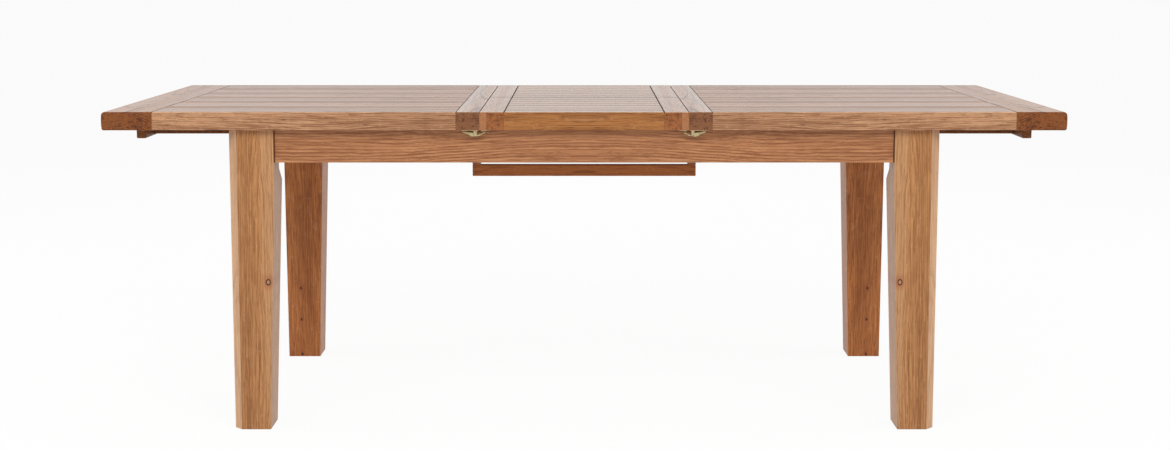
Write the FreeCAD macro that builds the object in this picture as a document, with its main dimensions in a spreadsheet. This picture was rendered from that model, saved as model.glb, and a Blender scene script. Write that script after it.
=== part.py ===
import FreeCAD, Part
import Sketcher
import math
import os
from types import SimpleNamespace

# Oak extending dining table, shown extended: a fixed leg frame, two sliding tops and a folding centre leaf.
# Millimetres, +X along the table, +Y towards its back, +Z up; the origin is on the floor under the centre.

# Sizes of the whole table
SIZES = {
    "closed_length": 1800.0,
    "leaf_width": 500.0,
    "top_width": 900.0,
    "table_height": 780.0,
    "top_thick": 44.0,
    "seam_gap": 0.4,
    "frame_gap": 0.5,
    # Boards of the tops and the leaf
    "end_board_wide": 121.0,
    "end_bulge_radius": 170.0,
    "end_top_round": 9.0,
    "end_low_round": 4.5,
    "joint_chamfer": 1.5,
    "inner_board_wide": 56.0,
    "pale_stave_wide": 16.5,
    "dark_stave_wide": 41.8,
    "edge_stave_wide": 60.0,
    "tongue_long": 12.0,
    "tongue_thick": 14.0,
    "tongue_stop": 25.0,
    "tongue_clear": 0.2,
    # Legs
    "leg_top_wide": 110.0,
    "leg_foot_wide": 90.0,
    "leg_straight": 130.0,
    "leg_end_inset": 45.0,
    "leg_side_inset": 20.0,
    "leg_chamfer_top": 22.0,
    "leg_chamfer_foot": 19.0,
    "flat_cut": 38.0,
    "flat_drop": 101.0,
    "flat_runout": 31.0,
    # Aprons and their tenons
    "apron_deep": 80.0,
    "apron_thick": 22.0,
    "apron_inset": 8.0,
    "end_apron_inset": 32.0,
    "tenon_thick": 12.0,
    "tenon_tall": 50.0,
    "tenon_long": 25.0,
    "tenon_clear": 0.15,
    # Corner blocks and the bolts that hold the legs
    "block_thick": 24.0,
    "block_tall": 60.0,
    "bolt_radius": 4.0,
    "bolt_in_leg": 40.0,
    "bolt_tail": 5.0,
    "bolt_clear": 0.3,
    "washer_radius": 9.0,
    "washer_thick": 1.6,
    "nut_radius": 7.5,
    "nut_thick": 6.5,
    # Cradle for the folded leaf
    "cradle_spare": 11.0,
    "cradle_side_thick": 20.0,
    "cradle_end_spare": 7.0,
    "cradle_drop": 109.0,
    "cradle_step": 79.0,
    "cradle_housing": 5.0,
    "rail_tall": 28.0,
    "rail_wide": 27.0,
    # Slides under the tops
    "guide_block_gap": 8.0,
    "runner_wide": 26.0,
    "runner_tall": 29.0,
    "runner_inner_end": 530.0,
    "guide_gap": 1.0,
    "guide_wide": 22.0,
    "guide_tall": 30.0,
    "guide_tongue_long": 8.0,
    "guide_tongue_tall": 10.0,
    "guide_tongue_drop": 12.0,
    "slide_clear": 0.3,
    "batten_end_inset": 48.0,
    "batten_wide": 23.0,
    "batten_tall": 33.0,
    "batten_leg_gap": 4.0,
    # Fold hinges of the leaf
    "hinge_axis_up": 0.3,
    "hinge_place": 120.0,
    "hinge_barrel_radius": 7.0,
    "hinge_barrel_long": 20.0,
    "hinge_link_wide": 6.0,
    "hinge_link_thick": 2.2,
    "hinge_link_part": 0.7,
    "hinge_link_turn": 28.0,
    "pin_clear": 0.05,
    # Catches under the joints between tops and leaf
    "catch_inset": 14.0,
    "catch_plate_wide": 16.0,
    "catch_plate_long": 40.0,
    "catch_plate_thick": 1.6,
    "catch_seam_inset": 3.0,
    "catch_pivot_back": 10.0,
    "catch_pivot_drop": 10.5,
    "catch_pin_radius": 1.5,
    "catch_ear_radius": 4.0,
    "catch_ear_thick": 1.6,
    "catch_link_back": 15.0,
    "catch_link_drop": 13.8,
    "catch_link_pin": 1.0,
    "catch_lever_half": 4.2,
    "catch_slot_half": 1.6,
    "catch_slot_spare": 6.0,
    "catch_link_half": 1.3,
    "catch_side_clear": 0.4,
    "catch_hub_reach": 3.2,
    "catch_heel_wall": 2.2,
    "lever_long": 30.5,
    "lever_rise": 5.3,
    "lever_thick": 1.6,
    "link_wall": 1.4,
    "claw_long": 3.0,
    "claw_drop": 3.0,
    "claw_side_clear": 1.2,
    "link_knee": 6.0,
    "claw_clear": 1.0,
    "keeper_start": 5.0,
    "keeper_long": 18.0,
    "keeper_wide": 14.0,
    "keeper_lip_back": 7.0,
    "keeper_lip_thick": 2.0,
    "keeper_lip_drop": 3.5,
}
BOARDS_PER_TOP = 6
BOARDS_PER_HALF_LEAF = 3
LEFT_RIGHT = (("left", -1), ("right", 1))
FRONT_BACK = (("front", -1), ("back", 1))
# How far a cutter runs past the face that it opens
PAST = 1.0
# Degrees that a hinge slot gains for each millimetre of clearance
SLOT_TURN = 8.0

doc = FreeCAD.newDocument("extending_table")
sheet = doc.addObject("Spreadsheet::Sheet", "Sizes")
for row, (alias, value) in enumerate(SIZES.items(), start=1):
    sheet.set("A%d" % row, alias)
    sheet.set("B%d" % row, str(value))
    sheet.setAlias("B%d" % row, alias)
doc.recompute()


class Dim:
    """A length: its number now, and the sheet expression that keeps it up to date."""

    def __init__(self, value, text):
        self.value = value
        self.text = text

    def __add__(self, other):
        other = as_dim(other)
        return Dim(self.value + other.value, "(%s + %s)" % (self.text, other.text))

    def __sub__(self, other):
        other = as_dim(other)
        return Dim(self.value - other.value, "(%s - %s)" % (self.text, other.text))

    def __mul__(self, other):
        other = as_dim(other)
        return Dim(self.value * other.value, "(%s * %s)" % (self.text, other.text))

    def __truediv__(self, other):
        other = as_dim(other)
        return Dim(self.value / other.value, "(%s / %s)" % (self.text, other.text))

    def __neg__(self):
        return Dim(-self.value, "(0 - %s)" % self.text)

    def __rmul__(self, other):
        return as_dim(other) * self


def as_dim(item):
    if isinstance(item, Dim):
        return item
    return Dim(float(item), "(%s)" % repr(float(item)))


d = SimpleNamespace(**{alias: Dim(value, "Sizes." + alias) for alias, value in SIZES.items()})
nodes = {}


def span(sign, near, far):
    """The low and high end of a stretch from near to far, on the side that sign gives."""
    if sign > 0:
        return (as_dim(near), as_dim(far))
    return (-as_dim(far), -as_dim(near))


def bind_base(solid, place):
    for axis, part in zip("xyz", place):
        solid.setExpression("Placement.Base." + axis, as_dim(part).text)


def box(name, xs, ys, zs):
    solid = doc.addObject("Part::Box", name)
    for size, (low, high) in zip(("Length", "Width", "Height"), (xs, ys, zs)):
        solid.setExpression(size, (as_dim(high) - low).text)
    bind_base(solid, (xs[0], ys[0], zs[0]))
    return solid


def rod(name, radius, length, start, direction):
    solid = doc.addObject("Part::Cylinder", name)
    turn = FreeCAD.Rotation(FreeCAD.Vector(0, 0, 1), FreeCAD.Vector(*direction))
    solid.Placement = FreeCAD.Placement(FreeCAD.Vector(), turn)
    solid.setExpression("Radius", as_dim(radius).text)
    solid.setExpression("Height", as_dim(length).text)
    bind_base(solid, start)
    return solid


def fuse(name, solids):
    if len(solids) == 1:
        return solids[0]
    whole = doc.addObject("Part::MultiFuse", name)
    whole.Shapes = solids
    whole.Refine = True
    return whole


def cut(name, solid, tools):
    left_over = doc.addObject("Part::Cut", name)
    left_over.Base = solid
    left_over.Tool = fuse(name + "_tools", tools)
    left_over.Refine = True
    return left_over


def node(name, *solids):
    """Names what is exported: one solid, or identical loose ones held as a group."""
    if len(solids) == 1:
        piece = solids[0]
    else:
        piece = doc.addObject("Part::Compound", name)
        piece.Links = list(solids)
    piece.Label = name
    nodes[name] = piece


def origin_plane(body, role):
    for feature in body.Origin.OriginFeatures:
        if feature.Role == role:
            return feature
    raise RuntimeError("no plane " + role)


def outline(body, name, role, points, offset, turn=0):
    """A closed outline with corners tied to the sheet, on a plane turned about its upright and moved out."""
    sketch = body.newObject("Sketcher::SketchObject", name)
    sketch.AttachmentSupport = [(origin_plane(body, role), "")]
    sketch.MapMode = "FlatFace"
    rotation = FreeCAD.Rotation(FreeCAD.Vector(0, 1, 0), turn)
    sketch.AttachmentOffset = FreeCAD.Placement(FreeCAD.Vector(), rotation)
    sketch.setExpression("AttachmentOffset.Base.x", (offset * math.sin(math.radians(turn))).text)
    sketch.setExpression("AttachmentOffset.Base.z", (offset * math.cos(math.radians(turn))).text)
    corners = [(as_dim(along), as_dim(across)) for along, across in points]
    places = [FreeCAD.Vector(along.value, across.value, 0) for along, across in corners]
    count = len(corners)
    for index in range(count):
        sketch.addGeometry(Part.LineSegment(places[index], places[(index + 1) % count]), False)
    for index in range(count):
        sketch.addConstraint(Sketcher.Constraint("Coincident", index, 2, (index + 1) % count, 1))
    for index, corner in enumerate(corners):
        for kind, part in zip(("DistanceX", "DistanceY"), corner):
            number = sketch.addConstraint(Sketcher.Constraint(kind, -1, 1, index, 1, part.value))
            sketch.setExpression("Constraints[%d]" % number, part.text)
    return sketch


def prism(name, role, points, low, high):
    """A straight-sided body: points in the plane, from low to high along its third axis."""
    body = doc.addObject("PartDesign::Body", name)
    start = -as_dim(high) if role == "XZ_Plane" else as_dim(low)
    sketch = outline(body, name + "_outline", role, points, start)
    pad = body.newObject("PartDesign::Pad", name + "_pad")
    pad.Profile = sketch
    pad.setExpression("Length", (as_dim(high) - low).text)
    body.Tip = pad
    return body


# Levels and lines that several pieces share
underside = d.table_height - d.top_thick
frame_top = underside - d.frame_gap
open_half = (d.closed_length + d.leaf_width) / 2
leaf_half = d.leaf_width / 2
side_edge = d.top_width / 2
leg_x = d.closed_length / 2 - d.leg_end_inset
leg_y = side_edge - d.leg_side_inset
leg_inner_x = leg_x - d.leg_top_wide
leg_inner_y = leg_y - d.leg_top_wide
apron_low = frame_top - d.apron_deep
apron_y = leg_y - d.apron_inset
apron_inner_y = apron_y - d.apron_thick
end_apron_x = leg_x - d.end_apron_inset
end_apron_inner_x = end_apron_x - d.apron_thick
tenon_low = apron_low + (d.apron_deep - d.tenon_tall) / 2
tenon_high = tenon_low + d.tenon_tall
tenon_inset = (d.apron_thick - d.tenon_thick) / 2
block_low = apron_low + (d.apron_deep - d.block_tall) / 2
bolt_level = block_low + d.block_tall / 2
flat_sum = leg_inner_x + leg_inner_y + d.flat_cut
block_reach = end_apron_inner_x + apron_inner_y - flat_sum
block_inner_reach = block_reach + d.block_thick * math.sqrt(2)
cradle_inner = leaf_half + d.cradle_spare
cradle_outer = cradle_inner + d.cradle_side_thick
cradle_floor = underside - d.cradle_drop
cradle_step_level = underside - d.cradle_step
cradle_reach = side_edge / 2 + d.cradle_end_spare
guide_outer = apron_inner_y - block_inner_reach - d.guide_block_gap
guide_inner = guide_outer - d.guide_wide
runner_face = guide_inner - d.guide_gap
guide_low = frame_top - d.guide_tall
guide_tongue_high = frame_top - d.guide_tongue_drop
guide_tongue_low = guide_tongue_high - d.guide_tongue_tall
guide_tongue_end = guide_inner - d.guide_tongue_long - d.guide_gap
runner_low = underside - d.runner_tall
runner_inner_face = runner_face - d.runner_wide
batten_x = open_half - d.batten_end_inset
batten_inner_x = batten_x - d.batten_wide
half_diagonal = 1 / math.sqrt(2)


# Legs: straight at the aprons, then tapered on the two inner faces, with one long chamfer outside
def corner_cutter(name, sx, sy, points, half_wide):
    """Cutter drawn, by reach and height, in the upright plane through a leg's inner and outer corners."""
    body = doc.addObject("PartDesign::Body", name)
    middle = sx * sy * (leg_inner_y - leg_inner_x) * half_diagonal
    turn = math.degrees(math.atan2(sy, sx))
    sketch = outline(body, name + "_outline", "XZ_Plane", points, -middle - half_wide, turn)
    pad = body.newObject("PartDesign::Pad", name + "_pad")
    pad.Profile = sketch
    pad.setExpression("Length", (half_wide * 2).text)
    body.Tip = pad
    return body


def leg_flat(name, sx, sy):
    """The bolted 45 degree flat inside the leg's head, with its sloping run-out."""
    flat = flat_sum * half_diagonal
    corner = (leg_inner_x + leg_inner_y) * half_diagonal
    flat_low = frame_top - d.flat_drop
    flat_end = flat_low - d.flat_runout
    points = [
        (flat, frame_top + PAST),
        (flat, flat_low),
        (corner, flat_end),
        (corner - PAST, flat_end),
        (corner - PAST, frame_top + PAST),
    ]
    return corner_cutter(name, sx, sy, points, d.flat_cut)


def leg_chamfer(name, sx, sy):
    """The long chamfer on the outer corner, a little narrower at the foot."""
    corner = (leg_x + leg_y) * half_diagonal
    points = [
        (corner - d.leg_chamfer_foot * half_diagonal, -as_dim(PAST)),
        (corner - d.leg_chamfer_top * half_diagonal, frame_top + PAST),
        (corner + PAST, frame_top + PAST),
        (corner + PAST, -as_dim(PAST)),
    ]
    return corner_cutter(name, sx, sy, points, d.leg_chamfer_top)


def leg_taper(inner):
    """Wedge sawn off one inner face below the knee, as distances from the middle and heights."""
    knee = frame_top - d.leg_straight
    taper = d.leg_top_wide - d.leg_foot_wide
    foot = inner + taper
    return [(inner, knee), (foot, 0), (foot, -PAST), (inner - PAST, -PAST), (inner - PAST, knee)]


def bolt_line(sx, sy, forward):
    """A point on the corner's bolt line, forward of the leg's flat towards the table's middle."""
    flat_x = leg_inner_x + d.flat_cut / 2 - forward * half_diagonal
    flat_y = leg_inner_y + d.flat_cut / 2 - forward * half_diagonal
    return (sx * flat_x, sy * flat_y, bolt_level)


def bolt_hole(name, sx, sy, forward, length, clear):
    """Cutter for a hole along the bolt line, through a piece that starts forward of the leg's flat."""
    start = bolt_line(sx, sy, forward - PAST)
    return rod(name, d.bolt_radius + clear, length + 2 * PAST, start, (-sx, -sy, 0))


def tenon_spans(sx, sy, along_x, clear):
    """Box of a tenon on a long apron (along_x) or an end apron, grown all round by clear."""
    heights = (tenon_low - clear, tenon_high + clear)
    if along_x:
        depth = span(sx, leg_inner_x - PAST, leg_inner_x + d.tenon_long + clear)
        thick = span(sy, apron_inner_y + tenon_inset - clear, apron_y - tenon_inset + clear)
        return depth, thick, heights
    depth = span(sy, leg_inner_y - PAST, leg_inner_y + d.tenon_long + clear)
    thick = span(sx, end_apron_inner_x + tenon_inset - clear, end_apron_x - tenon_inset + clear)
    return thick, depth, heights


def make_leg(name, sx, sy):
    blank = box(name + "_blank", span(sx, leg_inner_x, leg_x), span(sy, leg_inner_y, leg_y), (0, frame_top))
    taper_x = [(sx * out, up) for out, up in leg_taper(leg_inner_x)]
    taper_y = [(sy * out, up) for out, up in leg_taper(leg_inner_y)]
    tools = [
        prism(name + "_taper_x", "XZ_Plane", taper_x, *span(sy, leg_inner_y - PAST, leg_y + PAST)),
        prism(name + "_taper_y", "YZ_Plane", taper_y, *span(sx, leg_inner_x - PAST, leg_x + PAST)),
        leg_chamfer(name + "_chamfer", sx, sy),
        leg_flat(name + "_flat", sx, sy),
        box(name + "_long_mortise", *tenon_spans(sx, sy, True, d.tenon_clear)),
        box(name + "_end_mortise", *tenon_spans(sx, sy, False, d.tenon_clear)),
        bolt_hole(name + "_bolt_hole", sx, sy, -d.bolt_in_leg, d.bolt_in_leg, d.bolt_clear),
    ]
    node(name, cut(name + "_cut", blank, tools))


for side, sx in LEFT_RIGHT:
    for face, sy in FRONT_BACK:
        make_leg("%s_%s_leg" % (face, side), sx, sy)


# Long aprons, housed inside for the cradle's sides
def make_long_apron(name, sy):
    heights = (apron_low, frame_top)
    bar = box(name + "_bar", (-leg_inner_x, leg_inner_x), span(sy, apron_inner_y, apron_y), heights)
    tenons = [box(name + "_tenon", *tenon_spans(sx, sy, True, 0)) for _, sx in LEFT_RIGHT]
    housings = []
    for _, sx in LEFT_RIGHT:
        along = span(sx, cradle_inner, cradle_outer)
        depth = span(sy, apron_inner_y - PAST, apron_inner_y + d.cradle_housing)
        housings.append(box(name + "_housing", along, depth, (cradle_step_level, frame_top + PAST)))
    node(name, cut(name + "_cut", fuse(name + "_whole", [bar] + tenons), housings))


for face, sy in FRONT_BACK:
    make_long_apron(face + "_apron", sy)


# End aprons, set back for the battens and notched for the runners
def make_end_apron(name, sx):
    across = span(sx, end_apron_inner_x, end_apron_x)
    bar = box(name + "_bar", across, (-leg_inner_y, leg_inner_y), (apron_low, frame_top))
    tenons = [box(name + "_tenon", *tenon_spans(sx, sy, False, 0)) for _, sy in FRONT_BACK]
    notch_across = span(sx, end_apron_inner_x - PAST, end_apron_x + PAST)
    notch_heights = (runner_low - d.slide_clear, frame_top + PAST)
    notches = []
    for _, sy in FRONT_BACK:
        notch_side = span(sy, runner_inner_face - d.guide_gap, runner_face + d.guide_gap)
        notches.append(box(name + "_notch", notch_across, notch_side, notch_heights))
    node(name, cut(name + "_cut", fuse(name + "_whole", [bar] + tenons), notches))


for side, sx in LEFT_RIGHT:
    make_end_apron(side + "_end_apron", sx)


# Corner blocks with the bolts, washers and nuts that pull the legs in
def make_corner_block(name, sx, sy):
    points = [
        (end_apron_inner_x - block_reach, apron_inner_y),
        (end_apron_inner_x - block_inner_reach, apron_inner_y),
        (end_apron_inner_x, apron_inner_y - block_inner_reach),
        (end_apron_inner_x, apron_inner_y - block_reach),
    ]
    corners = [(sx * x, sy * y) for x, y in points]
    block = prism(name, "XY_Plane", corners, block_low, block_low + d.block_tall)
    hole = bolt_hole(name + "_hole", sx, sy, as_dim(0), d.block_thick, d.bolt_clear)
    return cut(name + "_cut", block, [hole])


def make_ring(name, radius, thick, sx, sy, forward):
    disc = rod(name, radius, thick, bolt_line(sx, sy, forward), (-sx, -sy, 0))
    hole = bolt_hole(name + "_hole", sx, sy, forward, thick, d.bolt_clear)
    return cut(name + "_cut", disc, [hole])


def make_nut(name, sx, sy, forward):
    hexagon = doc.addObject("Part::Prism", name)
    hexagon.Polygon = 6
    turn = FreeCAD.Rotation(FreeCAD.Vector(0, 0, 1), FreeCAD.Vector(-sx, -sy, 0))
    hexagon.Placement = FreeCAD.Placement(FreeCAD.Vector(), turn)
    hexagon.setExpression("Circumradius", d.nut_radius.text)
    hexagon.setExpression("Height", d.nut_thick.text)
    bind_base(hexagon, bolt_line(sx, sy, forward))
    hole = bolt_hole(name + "_hole", sx, sy, forward, d.nut_thick, d.pin_clear)
    return cut(name + "_cut", hexagon, [hole])


blocks = []
bolts = []
washers = []
nuts = []
for side, sx in LEFT_RIGHT:
    for face, sy in FRONT_BACK:
        corner = "%s_%s" % (face, side)
        stack = d.block_thick + d.washer_thick + d.nut_thick + d.bolt_tail
        blocks.append(make_corner_block(corner + "_block", sx, sy))
        bolt_start = bolt_line(sx, sy, -d.bolt_in_leg)
        bolts.append(rod(corner + "_bolt", d.bolt_radius, d.bolt_in_leg + stack, bolt_start, (-sx, -sy, 0)))
        washers.append(make_ring(corner + "_washer", d.washer_radius, d.washer_thick, sx, sy, d.block_thick))
        nuts.append(make_nut(corner + "_nut", sx, sy, d.block_thick + d.washer_thick))
node("corner_blocks", *blocks)
node("hanger_bolts", *bolts)
node("bolt_washers", *washers)
node("bolt_nuts", *nuts)


# Guide rails fixed between the end aprons, each with a tongue that holds a top's runner down
def make_guide(name, sy):
    along = (-end_apron_inner_x, end_apron_inner_x)
    bar = box(name + "_bar", along, span(sy, guide_inner, guide_outer), (guide_low, frame_top))
    tongue_side = span(sy, guide_tongue_end, guide_inner + PAST)
    tongue = box(name + "_tongue", along, tongue_side, (guide_tongue_low, guide_tongue_high))
    node(name, fuse(name + "_whole", [bar, tongue]))


for face, sy in FRONT_BACK:
    make_guide(face + "_guide_rail", sy)


# Cradle that stores the folded leaf: two stepped side boards with two rails under them
def make_cradle_side(name, sx):
    across = span(sx, cradle_inner, cradle_outer)
    full = apron_inner_y + d.cradle_housing
    profile = [
        (-full, frame_top),
        (-full, cradle_step_level),
        (-cradle_reach, cradle_step_level),
        (-cradle_reach, cradle_floor),
        (cradle_reach, cradle_floor),
        (cradle_reach, cradle_step_level),
        (full, cradle_step_level),
        (full, frame_top),
    ]
    board = prism(name, "YZ_Plane", profile, *across)
    wide_across = span(sx, cradle_inner - PAST, cradle_outer + PAST)
    slots = []
    for _, sy in FRONT_BACK:
        slot = span(sy, guide_tongue_end - d.slide_clear, guide_outer + d.slide_clear)
        slots.append(box(name + "_slot", wide_across, slot, (guide_low - d.slide_clear, frame_top + PAST)))
    node(name, cut(name + "_cut", board, slots))


for side, sx in LEFT_RIGHT:
    make_cradle_side(side + "_cradle_side", sx)
for face, sy in FRONT_BACK:
    across = span(sy, cradle_reach - d.rail_wide, cradle_reach)
    rail_heights = (cradle_floor - d.rail_tall, cradle_floor)
    node(face + "_cradle_rail", box(face + "_rail_bar", (-cradle_outer, cradle_outer), across, rail_heights))


# Boards of the tops and the leaf: tongues at the boards' ends fit grooves in the cross boards
tongue_low = underside + (d.top_thick - d.tongue_thick) / 2
tongue_high = tongue_low + d.tongue_thick


def slab_profile(xs, chamfer_low, chamfer_high):
    """Lengthwise section of a board, with the arrises chamfered at the joints that show."""
    low, high = xs
    top_low = low + chamfer_low
    top_high = high - chamfer_high
    shoulder = d.table_height - d.joint_chamfer
    points = [(low, underside), (high, underside)]
    points += [(high, shoulder), (top_high, d.table_height)] if chamfer_high else [(high, d.table_height)]
    points += [(top_low, d.table_height), (low, shoulder)] if chamfer_low else [(low, d.table_height)]
    return points


def make_board(name, xs, ys, tongue_ys, tools):
    low, high = xs
    bar = prism(name, "XZ_Plane", slab_profile(xs, d.joint_chamfer, d.joint_chamfer), *ys)
    long_xs = (low - d.tongue_long, high + d.tongue_long)
    tongue = box(name + "_tongue", long_xs, tongue_ys, (tongue_low, tongue_high))
    board = fuse(name + "_whole", [bar, tongue])
    if tools:
        board = cut(name + "_cut", board, tools)
    return board


def groove(name, sign, joint, ys):
    """Groove that opens at the joint and runs outwards on the side that sign gives."""
    depth = span(sign, joint - PAST, joint + d.tongue_long + d.tongue_clear)
    return box(name, depth, ys, (tongue_low - d.tongue_clear, tongue_high + d.tongue_clear))


def make_end_board(name, sx):
    """Outer cross board: gently bowed outer edge, rounded more above than below."""
    joint = open_half - d.end_board_wide
    chamfers = (d.joint_chamfer, 0) if sx > 0 else (0, d.joint_chamfer)
    profile = slab_profile(span(sx, joint, open_half), *chamfers)
    blank = prism(name + "_blank", "XZ_Plane", profile, -side_edge, side_edge)
    centre = sx * (open_half - d.end_bulge_radius)
    level = underside + d.top_thick / 2
    bow_start = (centre, -side_edge - PAST, level)
    bow = rod(name + "_bow", d.end_bulge_radius, d.top_width + 2 * PAST, bow_start, (0, 1, 0))
    bowed = doc.addObject("Part::Common", name + "_bowed")
    bowed.Base = blank
    bowed.Tool = bow
    doc.recompute()
    body = doc.addObject("PartDesign::Body", name + "_body")
    body.BaseFeature = bowed
    doc.recompute()
    tip = body.Tip
    for label, radius, wanted in (
        ("top", d.end_top_round, lambda reach: reach.ZMin > level.value),
        ("low", d.end_low_round, lambda reach: reach.ZMax < level.value),
    ):
        edges = []
        for number, edge in enumerate(tip.Shape.Edges, start=1):
            reach = edge.BoundBox
            outer = min(abs(reach.XMin), abs(reach.XMax)) > (open_half - d.end_board_wide / 2).value
            if outer and reach.YLength > d.top_width.value / 2 and wanted(reach):
                edges.append("Edge%d" % number)
        rounding = body.newObject("PartDesign::Fillet", "%s_%s_round" % (name, label))
        rounding.Base = (tip, edges)
        rounding.setExpression("Radius", radius.text)
        body.Tip = rounding
        doc.recompute()
        tip = rounding
    stop = side_edge - d.tongue_stop + d.tongue_clear
    node(name, cut(name + "_cut", body, [groove(name + "_groove", sx, joint, (-stop, stop))]))


def make_top(side, sx):
    outer_joint = open_half - d.end_board_wide
    inner_joint = leaf_half + d.inner_board_wide
    wide = d.top_width / BOARDS_PER_TOP
    stop = side_edge - d.tongue_stop
    boards = []
    for index in range(BOARDS_PER_TOP):
        low = -side_edge + wide * index
        high = low + wide
        tongue_ys = (-stop if index == 0 else low, stop if index == BOARDS_PER_TOP - 1 else high)
        name = "%s_board_%d" % (side, index + 1)
        boards.append(make_board(name, span(sx, inner_joint, outer_joint), (low, high), tongue_ys, []))
    node(side + "_top_boards", *boards)
    make_end_board(side + "_end_board", sx)
    name = side + "_inner_board"
    profile = slab_profile(span(sx, leaf_half, inner_joint), d.joint_chamfer, d.joint_chamfer)
    blank = prism(name + "_blank", "XZ_Plane", profile, -side_edge, side_edge)
    clear_stop = stop + d.tongue_clear
    slot = groove(name + "_groove", -sx, -inner_joint, (-clear_stop, clear_stop))
    node(name, cut(name + "_cut", blank, [slot]))


def make_runner(name, sx, sy):
    along = span(sx, d.runner_inner_end, batten_inner_x)
    bar = box(name + "_bar", along, span(sy, runner_inner_face, runner_face), (runner_low, underside))
    groove_side = span(sy, guide_tongue_end - d.slide_clear, runner_face + PAST)
    groove_heights = (guide_tongue_low - d.slide_clear, guide_tongue_high + d.slide_clear)
    long_along = span(sx, d.runner_inner_end - PAST, batten_inner_x + PAST)
    node(name, cut(name + "_cut", bar, [box(name + "_groove", long_along, groove_side, groove_heights)]))


for side, sx in LEFT_RIGHT:
    make_top(side, sx)
    for face, sy in FRONT_BACK:
        make_runner("%s_%s_runner" % (side, face), sx, sy)
    batten_end = leg_inner_y - d.batten_leg_gap
    across = span(sx, batten_inner_x, batten_x)
    batten_heights = (underside - d.batten_tall, underside)
    node(side + "_batten", box(side + "_batten_bar", across, (-batten_end, batten_end), batten_heights))


# Centre leaf in two halves that fold up about the line where their top arrises meet, on concealed hinges
hinge_level = d.table_height + d.hinge_axis_up
hinge_middle = underside + d.top_thick / 2
hinge_drop = hinge_level - hinge_middle
leaf_side = leaf_half - d.seam_gap


def hinge_barrel(name, sx, sy, clear):
    """A barrel let into the meeting edge of one half of the leaf, or its hole when clear is given."""
    near = d.seam_gap / 2 - clear
    start = (sx * d.hinge_place, sy * near, hinge_middle)
    return rod(name, d.hinge_barrel_radius + clear, d.hinge_barrel_long + clear * 2, start, (0, sy, 0))


def hinge_link(name, sx, sy, offset, clear):
    """Curved link about the fold line, reaching into one half, or its slot when clear is given."""
    low = sx * d.hinge_place + offset - d.hinge_link_thick / 2 - clear
    thick = d.hinge_link_thick + clear * 2
    upright = FreeCAD.Rotation(FreeCAD.Vector(0, 0, 1), FreeCAD.Vector(1, 0, 0))
    side = low
    if sy < 0:
        upright = FreeCAD.Rotation(FreeCAD.Vector(0, 0, 1), 180).multiply(upright)
        side = low + thick
    sector = doc.addObject("Part::Cylinder", name + "_sector")
    sector.Placement = FreeCAD.Placement(FreeCAD.Vector(), upright)
    sector.setExpression("Radius", (hinge_drop + d.hinge_link_wide / 2 + clear).text)
    sector.setExpression("Height", thick.text)
    sector.setExpression("Angle", (d.hinge_link_turn + clear * SLOT_TURN).text)
    bind_base(sector, (side, 0, hinge_level))
    hollow_radius = hinge_drop - d.hinge_link_wide / 2 - clear
    hollow_start = (low - PAST, 0, hinge_level)
    hollow = rod(name + "_hollow", hollow_radius, thick + 2 * PAST, hollow_start, (1, 0, 0))
    return cut(name, sector, [hollow])


def hinge_barrels(face, sy):
    """Barrels of one half: each carries one link and has a slot for the other half's link."""
    barrels = []
    for side, sx in LEFT_RIGHT:
        name = "%s_%s_hinge" % (face, side)
        beside = sy * (d.hinge_link_thick + d.hinge_link_part) / 2
        middle = sx * d.hinge_place + beside
        root_xs = (middle - d.hinge_link_thick / 2, middle + d.hinge_link_thick / 2)
        root_zs = (hinge_middle - d.hinge_link_wide / 2, hinge_middle + d.hinge_link_wide / 2)
        slot = hinge_link(name + "_slot", sx, sy, -beside, d.slide_clear)
        pieces = [
            cut(name + "_cut", hinge_barrel(name + "_barrel", sx, sy, as_dim(0)), [slot]),
            box(name + "_root", root_xs, span(sy, 0, d.hinge_link_wide), root_zs),
            hinge_link(name + "_link", sx, -sy, beside, as_dim(0)),
        ]
        barrels.append(fuse(name + "_whole", pieces))
    return barrels


def fold_chamfer(name, sy, xs):
    """Cutter for the chamfer on the top arris where the leaf's halves meet."""
    edge = d.seam_gap / 2
    level = d.table_height - d.joint_chamfer
    points = [
        (sy * (edge - PAST), level - PAST),
        (sy * (edge + d.joint_chamfer + PAST), d.table_height + PAST),
        (sy * (edge - PAST), d.table_height + PAST),
    ]
    return prism(name, "YZ_Plane", points, xs[0] - PAST, xs[1] + PAST)


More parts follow.
